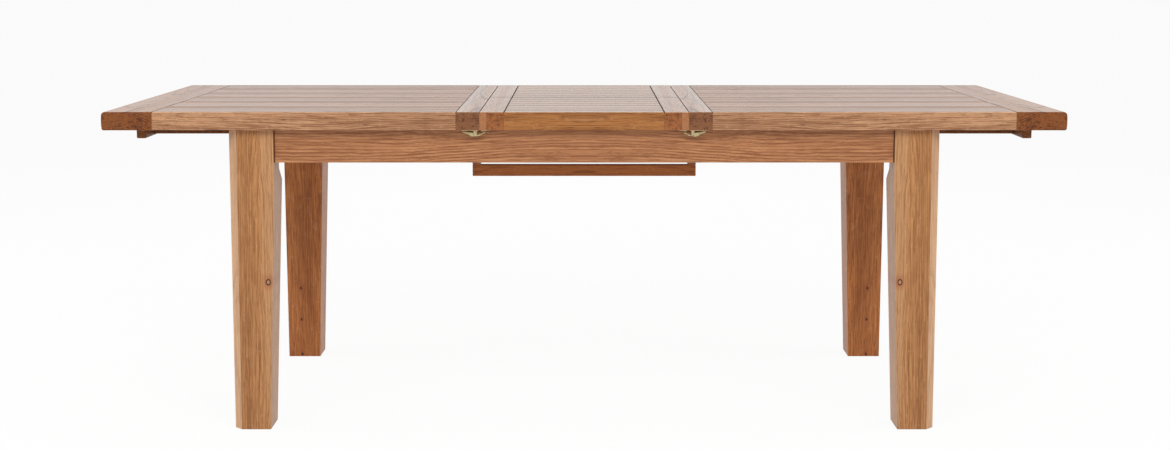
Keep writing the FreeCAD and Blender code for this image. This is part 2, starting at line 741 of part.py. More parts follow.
def make_half_leaf(face, sy):
    joint = leaf_half - d.pale_stave_wide - d.dark_stave_wide
    meeting = d.seam_gap / 2
    inner_wide = (side_edge - d.edge_stave_wide - meeting) / BOARDS_PER_HALF_LEAF
    lines = [meeting + inner_wide * index for index in range(BOARDS_PER_HALF_LEAF + 1)] + [side_edge]
    first_stop = meeting + d.tongue_stop
    last_stop = side_edge - d.tongue_stop
    boards = []
    for index in range(BOARDS_PER_HALF_LEAF + 1):
        near, far = lines[index], lines[index + 1]
        tongue_near = first_stop if index == 0 else near
        tongue_far = last_stop if index == BOARDS_PER_HALF_LEAF else far
        name = "%s_leaf_board_%d" % (face, index + 1)
        tools = []
        if index == 0:
            tools = [hinge_barrel(name + "_bore", sx, sy, d.pin_clear) for _, sx in LEFT_RIGHT]
            tools.append(fold_chamfer(name + "_fold", sy, (-joint, joint)))
        tongue_ys = span(sy, tongue_near, tongue_far)
        boards.append(make_board(name, (-joint, joint), span(sy, near, far), tongue_ys, tools))
    node(face + "_leaf_boards", *boards)
    groove_ys = span(sy, first_stop - d.tongue_clear, last_stop + d.tongue_clear)
    for side, sx in LEFT_RIGHT:
        name = "%s_leaf_%s_staves" % (face, side)
        seam = leaf_half - d.pale_stave_wide
        ys = span(sy, meeting, side_edge)
        joint_chamfers = (d.joint_chamfer, 0) if sx > 0 else (0, d.joint_chamfer)
        seam_chamfers = joint_chamfers[::-1]
        dark_xs = span(sx, joint, seam)
        pale_xs = span(sx, seam, leaf_side)
        dark = prism(name + "_dark", "XZ_Plane", slab_profile(dark_xs, *joint_chamfers), *ys)
        pale = prism(name + "_pale", "XZ_Plane", slab_profile(pale_xs, *seam_chamfers), *ys)
        pale_tools = [fold_chamfer(name + "_pale_fold", sy, pale_xs)]
        dark_tools = [fold_chamfer(name + "_dark_fold", sy, dark_xs)]
        dark_tools.append(groove(name + "_groove", sx, joint, groove_ys))
        node(name, cut(name + "_dark_cut", dark, dark_tools), cut(name + "_pale_cut", pale, pale_tools))
    node(face + "_hinge_barrels", *hinge_barrels(face, sy))


for face, sy in FRONT_BACK:
    make_half_leaf(face, sy)


# Brass catches: a plate with ears under each top, a lever, a hook link and a keeper under the leaf
def catch_x(sx, forward):
    """A line at a distance past the seam towards the leaf, on the side that sx gives."""
    return sx * (leaf_half - forward)


def catch_span(sx, low, high):
    return span(sx, leaf_half - high, leaf_half - low)


def catch_middle(sy):
    return sy * (side_edge - d.catch_inset)


def across_catch(sy, low, high):
    middle = catch_middle(sy)
    return (middle + low, middle + high)


def pivot(sx, sy, back, drop, half):
    return (catch_x(sx, -back), catch_middle(sy) - half, underside - drop)


def make_catch_plate(name, sx, sy):
    plate_end = -d.catch_seam_inset
    heights = (underside - d.catch_plate_thick, underside)
    half = d.catch_plate_wide / 2
    plate_span = catch_span(sx, plate_end - d.catch_plate_long, plate_end)
    pieces = [box(name, plate_span, across_catch(sy, -half, half), heights)]
    ear_near = d.catch_lever_half + d.catch_side_clear
    ear_far = ear_near + d.catch_ear_thick
    ear_middle = -d.catch_pivot_back
    ear_span = catch_span(sx, ear_middle - d.catch_ear_radius, ear_middle + d.catch_ear_radius)
    ear_heights = (underside - d.catch_pivot_drop, underside)
    for low, high in ((-ear_far, -ear_near), (ear_near, ear_far)):
        pieces.append(box(name + "_ear", ear_span, across_catch(sy, low, high), ear_heights))
        start = (catch_x(sx, -d.catch_pivot_back), catch_middle(sy) + low, underside - d.catch_pivot_drop)
        pieces.append(rod(name + "_ear_end", d.catch_ear_radius, d.catch_ear_thick, start, (0, 1, 0)))
    start = pivot(sx, sy, d.catch_pivot_back, d.catch_pivot_drop, ear_far)
    pieces.append(rod(name + "_pin", d.catch_pin_radius, ear_far * 2, start, (0, 1, 0)))
    return fuse(name + "_whole", pieces)


def catch_outline(sx, points):
    """Corners given forward of the main pivot and above it."""
    corners = []
    for forward, up in points:
        corners.append((catch_x(sx, forward - d.catch_pivot_back), underside - d.catch_pivot_drop + up))
    return corners


def make_lever(name, sx, sy):
    half = d.catch_lever_half
    hub = d.catch_hub_reach
    heel_back = d.catch_link_back - d.catch_pivot_back
    heel = d.catch_link_drop - d.catch_pivot_drop + d.catch_heel_wall
    shape = [
        (-d.lever_long, d.lever_rise + d.lever_thick),
        (-hub, hub),
        (hub / 2, hub),
        (hub, hub / 2),
        (hub, -hub / 2),
        (d.catch_heel_wall - heel_back, -heel),
        (-heel_back - d.catch_heel_wall, -heel),
        (-d.lever_long, d.lever_rise),
    ]
    low, high = across_catch(sy, -half, half)
    blank = prism(name, "XZ_Plane", catch_outline(sx, shape), low, high)
    slot_half = d.catch_slot_half
    back = d.catch_link_back + d.catch_slot_spare
    slot_heights = (underside - d.catch_link_drop - heel, underside)
    slot_across = across_catch(sy, -slot_half, slot_half)
    slot = box(name + "_slot", catch_span(sx, -back, 0), slot_across, slot_heights)
    bore_start = pivot(sx, sy, d.catch_pivot_back, d.catch_pivot_drop, half + PAST)
    bore = rod(name + "_bore", d.catch_pin_radius + d.pin_clear, half * 2 + 2 * PAST, bore_start, (0, 1, 0))
    fork = cut(name + "_fork", blank, [slot, bore])
    pin_half = d.catch_slot_half + PAST
    pin_start = pivot(sx, sy, d.catch_link_back, d.catch_link_drop, pin_half)
    pin = rod(name + "_link_pin", d.catch_link_pin, pin_half * 2, pin_start, (0, 1, 0))
    node(name, fuse(name + "_whole", [fork, pin]))


def make_link(name, sx, sy):
    half = d.catch_link_half
    tail = d.catch_pivot_back - d.catch_link_back - d.link_wall
    drop = d.catch_pivot_drop - d.catch_link_drop
    claw = d.catch_pivot_back + d.keeper_lip_back + d.keeper_lip_thick + d.claw_side_clear
    claw_top = d.catch_pivot_drop - d.keeper_lip_drop - d.claw_clear
    claw_root = claw_top - d.claw_drop
    shape = [
        (tail, drop - d.link_wall),
        (tail, drop + d.link_wall),
        (d.link_knee, drop + d.link_wall),
        (claw, claw_root + d.link_wall),
        (claw, claw_top),
        (claw + d.claw_long, claw_top),
        (claw + d.claw_long, claw_root),
        (d.link_knee + d.link_wall, drop - d.link_wall),
    ]
    low, high = across_catch(sy, -half, half)
    blank = prism(name, "XZ_Plane", catch_outline(sx, shape), low, high)
    start = pivot(sx, sy, d.catch_link_back, d.catch_link_drop, half + PAST)
    bore = rod(name + "_bore", d.catch_link_pin + d.pin_clear, half * 2 + 2 * PAST, start, (0, 1, 0))
    node(name, cut(name + "_cut", blank, [bore]))


def make_keeper(name, sx, sy):
    half = d.keeper_wide / 2
    across = across_catch(sy, -half, half)
    plate_span = catch_span(sx, d.keeper_start, d.keeper_start + d.keeper_long)
    plate = box(name, plate_span, across, (underside - d.catch_plate_thick, underside))
    lip_span = catch_span(sx, d.keeper_lip_back, d.keeper_lip_back + d.keeper_lip_thick)
    lip = box(name + "_lip", lip_span, across, (underside - d.keeper_lip_drop, underside))
    return fuse(name + "_whole", [plate, lip])


for side, sx in LEFT_RIGHT:
    plates = [make_catch_plate("%s_%s_catch_plate" % (side, face), sx, sy) for face, sy in FRONT_BACK]
    node(side + "_catch_plates", *plates)
    for face, sy in FRONT_BACK:
        make_lever("%s_%s_catch_lever" % (face, side), sx, sy)
        make_link("%s_%s_catch_link" % (face, side), sx, sy)
for face, sy in FRONT_BACK:
    keepers = [make_keeper("%s_%s_keeper" % (face, side), sx, sy) for side, sx in LEFT_RIGHT]
    node(face + "_leaf_keepers", *keepers)

# Check every object, then write one file for each named piece
doc.recompute()
for item in doc.Objects:
    if "Invalid" in item.State or "Error" in item.State:
        raise RuntimeError("%s did not build: %s" % (item.Label, item.State))
os.makedirs("parts", exist_ok=True)
for name, piece in nodes.items():
    if piece.Shape.isNull() or not piece.Shape.isValid():
        raise RuntimeError(name + " has no valid shape")
    piece.Shape.exportStep("parts/%s.step" % name)
print(len(nodes), "pieces written")
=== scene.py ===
import math
import bpy
from mathutils import Matrix, Vector


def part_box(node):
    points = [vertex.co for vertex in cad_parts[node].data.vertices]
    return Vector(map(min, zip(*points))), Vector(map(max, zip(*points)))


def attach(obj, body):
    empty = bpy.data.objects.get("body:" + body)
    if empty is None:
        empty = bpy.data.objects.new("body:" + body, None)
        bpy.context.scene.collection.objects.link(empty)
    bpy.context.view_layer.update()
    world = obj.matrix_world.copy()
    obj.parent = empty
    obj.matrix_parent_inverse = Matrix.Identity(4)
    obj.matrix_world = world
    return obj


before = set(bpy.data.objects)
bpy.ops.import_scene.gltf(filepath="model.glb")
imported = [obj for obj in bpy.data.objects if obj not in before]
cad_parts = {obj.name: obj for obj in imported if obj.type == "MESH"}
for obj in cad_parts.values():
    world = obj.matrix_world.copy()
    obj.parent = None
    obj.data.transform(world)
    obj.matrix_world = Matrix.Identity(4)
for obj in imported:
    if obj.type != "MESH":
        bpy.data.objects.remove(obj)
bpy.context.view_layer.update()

scene = bpy.context.scene
scene.view_settings.view_transform = "Standard"

# Camera of the photograph, as fitted to the table's outline
PHOTO_WIDE = 1170
PHOTO_TALL = 450
FOCAL_PIXELS = 1670.4
CENTRE_X = 584.15
CENTRE_Y = 162.1
CAMERA_PLACE = (0.0, -4.4080, 1.1248)
CAMERA_TILT = 0.1169
SENSOR = 36.0
FARTHEST = 200.0

# Places of the solids are taken from the model in metres, to this many decimals
DECIMALS = 5


def start_of(node, axis):
    """Where a solid's box starts along an axis."""
    return round(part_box(node)[0]["XYZ".index(axis)], DECIMALS)


def end_of(node, axis):
    """Where a solid's box ends along an axis."""
    return round(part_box(node)[1]["XYZ".index(axis)], DECIMALS)


def middle_of(node, axis):
    return (start_of(node, axis) + end_of(node, axis)) / 2


# Lines of the table's right-hand side that the grain and the small fittings follow
TOP_LOW = start_of("right_top_boards", "Z")
TOP_MIDDLE = middle_of("right_top_boards", "Z")
TOP_SIDE = end_of("right_top_boards", "Y")
END_JOINT = start_of("right_end_board", "X")
INNER_JOINT = end_of("right_inner_board", "X")
SEAM = start_of("right_inner_board", "X")
LEAF_JOINT = start_of("front_leaf_right_staves", "X")
LEG_INNER = start_of("front_right_leg", "X")

# Staves of the leaf and the legs, and the line where each ends
PALE_STAVE = 0.0165
LEG_STAVE = 0.032
STAVE_LINE = SEAM - PALE_STAVE
LEG_LINE = LEG_INNER + LEG_STAVE

# Widths of the boards; those of the tops reach a hair past the table's edge, so that no face lies on a joint
BOARDS_PER_SIDE = 3
LEAF_EDGE_BOARD = 0.060
HAIR = 0.0002
LEAF_BOARD = (TOP_SIDE - LEAF_EDGE_BOARD) / BOARDS_PER_SIDE
TOP_BOARD = (TOP_SIDE + HAIR) / BOARDS_PER_SIDE


class Graph:
    """Adds nodes to a tree and links them."""

    def __init__(self, tree):
        self.tree = tree

    def add(self, kind, **settings):
        node = self.tree.nodes.new(kind)
        for key, value in settings.items():
            setattr(node, key, value)
        return node

    def feed(self, socket, source):
        """Links a socket to a source, or sets it where the source is a plain value."""
        if isinstance(source, bpy.types.NodeSocket):
            self.tree.links.new(source, socket)
        else:
            socket.default_value = source

    def run(self, node, *sources):
        """Feeds a node's inputs in their order and gives its outputs."""
        for socket, source in zip(node.inputs, sources):
            self.feed(socket, source)
        return node.outputs

    def math(self, operation, *sources):
        return self.run(self.add("ShaderNodeMath", operation=operation), *sources)[0]

    def plus(self, first, second):
        return self.math("ADD", first, second)

    def minus(self, first, second):
        return self.math("SUBTRACT", first, second)

    def times(self, first, second):
        return self.math("MULTIPLY", first, second)

    def rising(self, value, least):
        """Goes from a least value to one as the value goes from nought to one."""
        return self.math("MULTIPLY_ADD", value, 1 - least, least)

    def size(self, value):
        """The value without its sign."""
        return self.math("ABSOLUTE", value)

    def reach(self, first, second):
        """Distance to a point that lies so far off along two axes."""
        return self.math("SQRT", self.plus(self.times(first, first), self.times(second, second)))

    def vector(self, operation, first, second):
        return self.run(self.add("ShaderNodeVectorMath", operation=operation), first, second)[0]

    def join(self, x, y, z):
        return self.run(self.add("ShaderNodeCombineXYZ"), x, y, z)[0]

    def split(self, vector):
        x, y, z = self.run(self.add("ShaderNodeSeparateXYZ"), vector)
        return x, y, z

    def noise(self, vector, stretch, detail, roughness):
        """Noise with so many waves to the metre along each axis."""
        node = self.add("ShaderNodeTexNoise")
        self.feed(node.inputs["Vector"], self.vector("MULTIPLY", vector, stretch))
        node.inputs["Scale"].default_value = 1.0
        node.inputs["Detail"].default_value = detail
        node.inputs["Roughness"].default_value = roughness
        return node.outputs

    def chance(self, value):
        """A random number and colour for each value."""
        node = self.add("ShaderNodeTexWhiteNoise", noise_dimensions="1D")
        self.feed(node.inputs["W"], value)
        return node.outputs

    def step(self, value, low, high, start=0.0, end=1.0):
        """Goes smoothly from start to end as the value goes from low to high."""
        node = self.add("ShaderNodeMapRange", interpolation_type="SMOOTHSTEP")
        return self.run(node, value, low, high, start, end)[0]

    def mix(self, factor, first, second, blend="MIX"):
        """Mixes two colours, by the sockets that the node keeps for colours."""
        node = self.add("ShaderNodeMix", data_type="RGBA", blend_type=blend)
        self.feed(node.inputs[0], factor)
        self.feed(node.inputs[6], first)
        self.feed(node.inputs[7], second)
        return node.outputs[2]

    def bump(self, height, strength, distance):
        node = self.add("ShaderNodeBump")
        node.inputs["Strength"].default_value = strength
        node.inputs["Distance"].default_value = distance
        self.feed(node.inputs["Height"], height)
        return node.outputs["Normal"]


def colour(red, green, blue):
    """A colour given as it shows on a screen, from 0 to 255, as the shader needs it."""
    parts = []
    for value in (red, green, blue):
        share = value / 255
        parts.append(share / 12.92 if share <= 0.04045 else ((share + 0.055) / 1.055) ** 2.4)
    return (*parts, 1.0)


# Noise of the oak: waves to the metre along, across and into the board, its detail and its roughness
SLOW_BEND = ((1.4, 6.0, 6.0), 2.0, 0.5)
QUICK_BEND = ((8.0, 55.0, 55.0), 2.0, 0.5)
FINE_PORES = ((40.0, 1500.0, 1500.0), 1.0, 0.5)
WIDE_PORES = ((18.0, 640.0, 640.0), 1.0, 0.5)
DASHES = ((24.0, 520.0, 520.0), 3.0, 0.6)
LINES = ((5.0, 230.0, 230.0), 2.0, 0.55)
STREAKS = ((9.0, 210.0, 210.0), 3.0, 0.6)
DRIFT = ((0.9, 16.0, 16.0), 3.0, 0.5)
FLECKS = ((70.0, 260.0, 60.0), 1.0, 0.5)
MOTTLE = ((2.0, 90.0, 90.0), 4.0, 0.7)
SHEEN_BANDS = ((0.6, 22.0, 22.0), 2.0, 0.5)

# Noise level where a mark starts and where it is full
FINE_EDGE = (0.55, 0.66)
WIDE_EDGE = (0.56, 0.68)
DASH_EDGE = (0.53, 0.64)
LINE_EDGE = (0.56, 0.62)
FLECK_EDGE = (0.63, 0.75)
SHEEN_EDGE = (0.38, 0.62)

# How far the grain bends, where the pith of its rings lies, and how far a seed shifts the grain, in metres
SLOW_REACH = 0.050
QUICK_REACH = 0.004
PITH_ASIDE = 0.09
PITH_DEPTH = 0.035
PITH_DEEPER = 0.05
SEED_SHIFT = (3.71, 0.53, 0.37)

# Range of the pith's slope to the board, in metres to the metre
PITH_SLOPE = 0.05

# Early wood of a ring, as shares of the ring, and the least weight of a ring and of its pores
EARLY_FULL = 0.05
EARLY_GONE = 0.55
RING_LEAST = 0.2
PORES_LEAST = 0.3

# Tone, from light wood at nought to dark at one: its middle, the patterns' means and their shares
MIDDLE_TONE = 0.45
NOISE_MEAN = 0.5
BAND_MEAN = 0.2
DASH_MEAN = 0.30
LINE_MEAN = 0.25
STREAK_SHARE = 2.2
DASH_SHARE = 0.60
BOARD_SHARE = 0.55
LINE_SHARE = 0.30
MOTTLE_SHARE = 5.0

# Flecks, pores and the rings' bands in the colour, the roughness and the relief
FLECK_WOOD = colour(224, 190, 150)
FLECK_SHARE = 0.10
PORE_SHADE = (0.45, 0.38, 0.34, 1.0)
PORE_SHARE = 0.50
ROUGH = 0.36
ROUGH_BAND = 0.05
ROUGH_PORES = 0.16
BAND_HEIGHT = -0.2
RELIEF = 0.5
RELIEF_DEPTH = 0.0004

OAK_INPUTS = (
    ("Place", "NodeSocketVector"),
    ("Seed", "NodeSocketFloat"),
    ("Light", "NodeSocketColor"),
    ("Dark", "NodeSocketColor"),
    ("Cap", "NodeSocketColor"),
    ("Ring", "NodeSocketFloat"),
    ("Contrast", "NodeSocketFloat"),
    ("Drift", "NodeSocketFloat"),
    ("End", "NodeSocketFloat"),
)
OAK_OUTPUTS = (
    ("Color", "NodeSocketColor"),
    ("Roughness", "NodeSocketFloat"),
    ("Height", "NodeSocketFloat"),
)


def open_oak_group():
    """A node group with the oak's inputs and outputs and nothing between them."""
    tree = bpy.data.node_groups.new("oak", "ShaderNodeTree")
    for way, sockets in (("INPUT", OAK_INPUTS), ("OUTPUT", OAK_OUTPUTS)):
        for name, kind in sockets:
            tree.interface.new_socket(name=name, in_out=way, socket_type=kind)
    return tree


def bend_grain(g, moved):
    """Slow and quick waves that push the grain sideways."""
    waves = (0.0, 0.0, 0.0)
    for pattern, reach in ((SLOW_BEND, SLOW_REACH), (QUICK_BEND, QUICK_REACH)):
        swing = g.vector("SUBTRACT", g.noise(moved, *pattern)["Color"], (NOISE_MEAN,) * 3)
        waves = g.vector("ADD", g.vector("MULTIPLY", swing, (0.0, reach, reach)), waves)
    return waves


def early_wood(g, place, seed, luck, ring):
    """Open wood where each growth ring starts, about a pith that runs at a slight slope to the board."""
    along, across, depth = g.split(place)
    luck_aside, luck_deep, luck_slope = luck
    aside = g.minus(across, g.times(g.minus(luck_aside, NOISE_MEAN), PITH_ASIDE))
    deep = g.plus(depth, g.math("MULTIPLY_ADD", luck_deep, PITH_DEEPER, PITH_DEPTH))
    slope = g.times(g.minus(luck_slope, NOISE_MEAN), PITH_SLOPE)
    radius = g.plus(g.reach(aside, deep), g.times(along, slope))
    turns = g.math("DIVIDE", radius, ring)
    whole = g.math("FLOOR", turns)
    part = g.minus(turns, whole)
    weight = g.rising(g.chance(g.plus(whole, seed))["Value"], RING_LEAST)
    early = g.times(g.step(part, EARLY_GONE, EARLY_FULL), g.step(part, 0.0, EARLY_FULL))
    return g.times(early, weight)


def make_oak_group():
    """Oak: growth rings, rows of pores, streaks and slow drift, with darker end grain."""
    tree = open_oak_group()
    g = Graph(tree)
    given = g.add("NodeGroupInput").outputs
    seed = given["Seed"]
    moved = g.vector("ADD", given["Place"], g.vector("MULTIPLY", g.join(seed, seed, seed), SEED_SHIFT))
    waves = bend_grain(g, moved)
    bent = g.vector("ADD", moved, waves)
    luck = g.split(g.chance(seed)["Color"])
    band = early_wood(g, g.vector("ADD", given["Place"], waves), seed, luck, given["Ring"])

    # Pores, drawn out along the grain and crowded where each ring starts
    fine = g.step(g.noise(bent, *FINE_PORES)["Fac"], *FINE_EDGE)
    wide = g.step(g.noise(bent, *WIDE_PORES)["Fac"], *WIDE_EDGE)
    pores = g.times(g.math("MAXIMUM", fine, wide), g.rising(band, PORES_LEAST))

    # Tone: each pattern less its mean, times its share
    dashes = g.step(g.noise(bent, *DASHES)["Fac"], *DASH_EDGE)
    lines = g.step(g.noise(bent, *LINES)["Fac"], *LINE_EDGE)
    patterns = (
        (band, BAND_MEAN, given["Contrast"]),
        (g.noise(moved, *DRIFT)["Fac"], NOISE_MEAN, given["Drift"]),
        (g.noise(bent, *STREAKS)["Fac"], NOISE_MEAN, STREAK_SHARE),
        (dashes, DASH_MEAN, DASH_SHARE),
        (luck[2], NOISE_MEAN, BOARD_SHARE),
        (lines, LINE_MEAN, LINE_SHARE),
        (g.noise(moved, *MOTTLE)["Fac"], NOISE_MEAN, g.times(given["End"], MOTTLE_SHARE)),
    )
    tone = MIDDLE_TONE
    for pattern, mean, share in patterns:
        tone = g.plus(g.times(g.minus(pattern, mean), share), tone)

    # Colour, with pale flecks, dark pores and the cap's shade on end grain
    fleck = g.step(g.noise(moved, *FLECKS)["Fac"], *FLECK_EDGE)
    pore_wood = g.mix(1.0, given["Dark"], PORE_SHADE, "MULTIPLY")
    wood = g.mix(tone, given["Light"], given["Dark"])
    wood = g.mix(g.times(fleck, FLECK_SHARE), wood, FLECK_WOOD)
    wood = g.mix(g.times(pores, PORE_SHARE), wood, pore_wood)
    wood = g.mix(given["End"], wood, g.mix(1.0, wood, given["Cap"], "MULTIPLY"))
    rough = g.plus(g.times(band, ROUGH_BAND), g.times(pores, ROUGH_PORES))
    result = g.add("NodeGroupOutput").inputs
    g.feed(result["Color"], wood)
    g.feed(result["Roughness"], g.plus(rough, ROUGH))
    g.feed(result["Height"], g.minus(g.times(band, BAND_HEIGHT), pores))
    return tree


OAK = make_oak_group()

# Masks by a face's normal, for end grain, level faces, leg chamfers and upper arrises, the last two for
# painted highlights: start and full
END_FACE = (0.75, 0.95)
LEVEL_FACE = (0.1, 0.4)
SLANT_FACE = (0.30, 0.45)
ARRIS_FACE = (0.08, 0.20)

# The grain is mirrored about the table's middle and turns smoothly within this distance of it
MIRROR_ROUND = 0.02

# Joints between boards: how far from a board's edge their lines fade and are full, in metres
JOINT_FADE = 0.0016
JOINT_FULL = 0.0006
JOINT_LINE = colour(92, 54, 34)

# No joint is drawn so near the table's edge; a groove is full over this share of its half width
EDGE_MARGIN = 0.004
GROOVE_FULL = 0.6

# Steps of the seed from board to board and from one wood to another in a piece
BOARD_SEED = 1.37
PART_SEED = 5.19

# Lacquer: its roughness, its weight, and the least and greatest share of that weight in its bands
COAT_ROUGH = 0.24
TOP_COAT = 0.48
LEAF_COAT = 0.80
BOARD_SHEEN = (0.40, 1.40)
CROSS_SHEEN = (0.85, 1.25)

# Slow drift of the tone on lacquered pieces
TOP_DRIFT = 2.0

# Knots: colour, where it fades and is full in knot radii, and its strength
KNOT_HALO = (colour(150, 78, 42), 3.2, 0.8, 0.50)
KNOT_RIM = (colour(50, 26, 14), 1.1, 0.8, 0.95)
KNOT_HEART = (colour(170, 126, 90), 0.65, 0.45, 1.0)


class Oak:
    """One oak finish: how its boards lie, their light and dark colours, and their end grain."""

    def __init__(self, name, axes, wood, seed):
        self.material = bpy.data.materials.new(name)
        self.material.use_nodes = True
        self.graph = Graph(self.material.node_tree)
        self.shader = self.material.node_tree.nodes["Principled BSDF"].inputs
        self.light, self.dark = wood
        self.seed = seed
        self.ring = 0.004
        self.contrast = 0.6
        self.drift = 1.4
        self.cap = (0.56, 0.46, 0.44, 1.0)
        self.gloss = 0.3
        self.coat = 0.0
        self.sheen = BOARD_SHEEN
        self.layers = []
        self.grooves = []
        coordinates = self.graph.add("ShaderNodeTexCoord").outputs
        self.lay_grain(coordinates["Object"], axes)
        self.find_faces(coordinates["Normal"], axes[0])

    def lay_grain(self, place, axes):
        """Lays the grain along, across and into the board, mirrored about the table's middle."""
        g = self.graph
        x, y, z = g.split(place)
        self.axes = {"X": g.reach(x, MIRROR_ROUND), "Y": y, "Z": z}
        self.along, self.across, self.depth = [self.axes[axis] for axis in axes]

    def find_faces(self, normal, along):
        """Masks of the faces that the finishes tell apart."""
        g = self.graph
        facing = dict(zip("XYZ", g.split(normal)))
        up = facing["Z"]
        self.end = g.step(g.size(facing[along]), *END_FACE)
        self.upward = g.step(up, *LEVEL_FACE)
        self.level = g.step(g.size(up), *LEVEL_FACE)
        self.slant = g.step(g.size(g.times(facing["X"], facing["Y"])), *SLANT_FACE)
        self.arris = g.step(g.times(up, g.minus(1.0, up)), *ARRIS_FACE)

    def boards(self, width):
        """Gives each board its own seed and middle line, and draws the joints between them."""
        g = self.graph
        start = -BOARDS_PER_SIDE * width
        half = width / 2
        index = g.math("FLOOR", g.math("DIVIDE", g.minus(self.across, start), width))
        self.across = g.minus(self.across, g.plus(g.times(index, width), start + half))
        self.seed = g.plus(g.times(index, BOARD_SEED), self.seed)
        joint = g.step(g.size(self.across), half - JOINT_FADE, half - JOINT_FULL)
        inside = g.math("LESS_THAN", g.size(self.axes["Y"]), TOP_SIDE - EDGE_MARGIN)
        self.cut(g.times(joint, inside), JOINT_LINE)

    def about(self, line):
        """Counts the distance across the board from this line."""
        self.across = self.graph.minus(self.across, line)

    def parted(self, line, wood, where=1.0):
        """Wood of other colours and grain where the distance from the table's middle is under the line."""
        g = self.graph
        under = g.times(g.math("LESS_THAN", self.axes["X"], line), where)
        self.faced(under, wood)
        self.seed = g.plus(g.times(under, PART_SEED), self.seed)

    def faced(self, mask, wood):
        """Wood of other colours where a mask is full."""
        light, dark = wood
        self.light = self.graph.mix(mask, self.light, light)
        self.dark = self.graph.mix(mask, self.dark, dark)

    def near(self, axis, place, half):
        """Mask of a band about a place along an axis."""
        g = self.graph
        return g.step(g.size(g.minus(self.axes[axis], place)), half, half * GROOVE_FULL)

    def cut(self, mask, shade):
        """A dark line in the top face, without the lacquer's sheen."""
        mask = self.graph.times(mask, self.upward)
        self.layers.append((mask, shade))
        self.grooves.append(mask)

    def groove(self, axis, place, half, shade):
        """A dark groove in the top face at a place along that axis."""
        self.cut(self.near(axis, place, half), shade)

    def knot(self, place, radii, rings):
        """A small knot at a place (X, Z), made of rings one over another."""
        g = self.graph
        offsets = []
        for axis, middle, radius in zip("XZ", place, radii):
            offsets.append(g.math("DIVIDE", g.minus(self.axes[axis], middle), radius))
        reach = g.reach(*offsets)
        for shade, fade, full, strength in rings:
            self.layers.append((g.step(reach, fade, full, 0.0, strength), shade))

    def lacquer(self, face, coat, sheen=BOARD_SHEEN):
        """A lacquered face of the table's top, with its own colours and more drift in them."""
        self.faced(self.level, face)
        self.coat = coat
        self.sheen = sheen
        self.drift = TOP_DRIFT

    def coat_weight(self):
        """Lacquer on the upward faces, in bands of more and less sheen."""
        g = self.graph
        if not self.coat:
            return self.coat
        dull, bright = self.sheen
        bands = g.noise(g.join(self.along, self.across, self.depth), *SHEEN_BANDS)["Fac"]
        return g.times(g.step(bands, *SHEEN_EDGE, dull * self.coat, bright * self.coat), self.upward)

    def finish(self, depth_from):
        """Links the grain to the shader, with the depth counted from a place along its axis."""
        g = self.graph
        oak = g.add("ShaderNodeGroup", node_tree=OAK)
        values = {
            "Place": g.join(self.along, self.across, g.minus(self.depth, depth_from)),
            "Seed": self.seed,
            "Light": self.light,
            "Dark": self.dark,
            "Cap": self.cap,
            "Ring": self.ring,
            "Contrast": self.contrast,
            "Drift": self.drift,
            "End": self.end,
        }
        for key, source in values.items():
            g.feed(oak.inputs[key], source)
        shade = oak.outputs["Color"]
        for mask, over in self.layers:
            shade = g.mix(mask, shade, over)
        rough = oak.outputs["Roughness"]
        coat = self.coat_weight()
        for mask in self.grooves:
            coat = g.times(g.minus(1.0, mask), coat)
            rough = g.math("MAXIMUM", rough, mask)
        g.feed(self.shader["Base Color"], shade)
        g.feed(self.shader["Roughness"], rough)
        g.feed(self.shader["Coat Weight"], coat)
        self.shader["Coat Roughness"].default_value = COAT_ROUGH
        self.shader["Specular IOR Level"].default_value = self.gloss
        g.feed(self.shader["Normal"], g.bump(oak.outputs["Height"], RELIEF, RELIEF_DEPTH))
        return self.material


# Colours of the oak, lighter and darker, as the photograph shows each piece
TOP_WOOD = (colour(189, 141, 103), colour(125, 80, 50))
CROSS_WOOD = (colour(196, 146, 106), colour(130, 84, 52))
TOP_FACE = (colour(188, 141, 109), colour(122, 80, 55))
LEAF_WOOD = (colour(168, 109, 57), colour(112, 63, 24))
LEAF_FACE = (colour(190, 140, 98), colour(126, 81, 48))
# Painted highlight: a paler colour on the upper arrises of the top, standing in for the light that the
# rounded edges catch
ARRIS_PAINTED_HIGHLIGHT = (colour(240, 208, 178), colour(216, 178, 144))
PALE_WOOD = (colour(166, 110, 71), colour(150, 97, 60))
TAWNY_WOOD = (colour(156, 94, 49), colour(113, 62, 26))
OUTER_WOOD = (colour(189, 134, 85), colour(146, 96, 54))
INNER_WOOD = (colour(190, 141, 97), colour(147, 101, 62))
# Painted highlight: a paler colour on the legs' chamfers, standing in for the sheen that they catch from a
# side lamp
CHAMFER_PAINTED_HIGHLIGHT = (colour(208, 165, 127), colour(184, 140, 102))
BACK_WOOD = (colour(200, 128, 70), colour(146, 84, 40))
APRON_WOOD = (colour(188, 131, 88), colour(136, 83, 49))
SIDE_WOOD = (colour(172, 112, 75), colour(130, 80, 51))
RAIL_WOOD = (colour(179, 105, 46), colour(137, 72, 25))
BATTEN_WOOD = (colour(142, 93, 56), colour(104, 65, 39))
BLOCK_WOOD = (colour(176, 116, 72), colour(132, 80, 44))

# Shade of end grain, which the wood's colour is multiplied by
END_BOARD_CAP = (0.42, 0.24, 0.09, 1.0)
INNER_BOARD_CAP = (0.40, 0.30, 0.23, 1.0)
STAVE_CAP = (1.0, 1.0, 1.0, 1.0)
PLAIN_CAP = (0.88, 0.86, 0.84, 1.0)

# Growth rings that show more than usual: their width in metres and their contrast
CROSS_RING = 0.006
CROSS_CONTRAST = 1.2
APRON_RING = 0.007
APRON_CONTRAST = 1.1

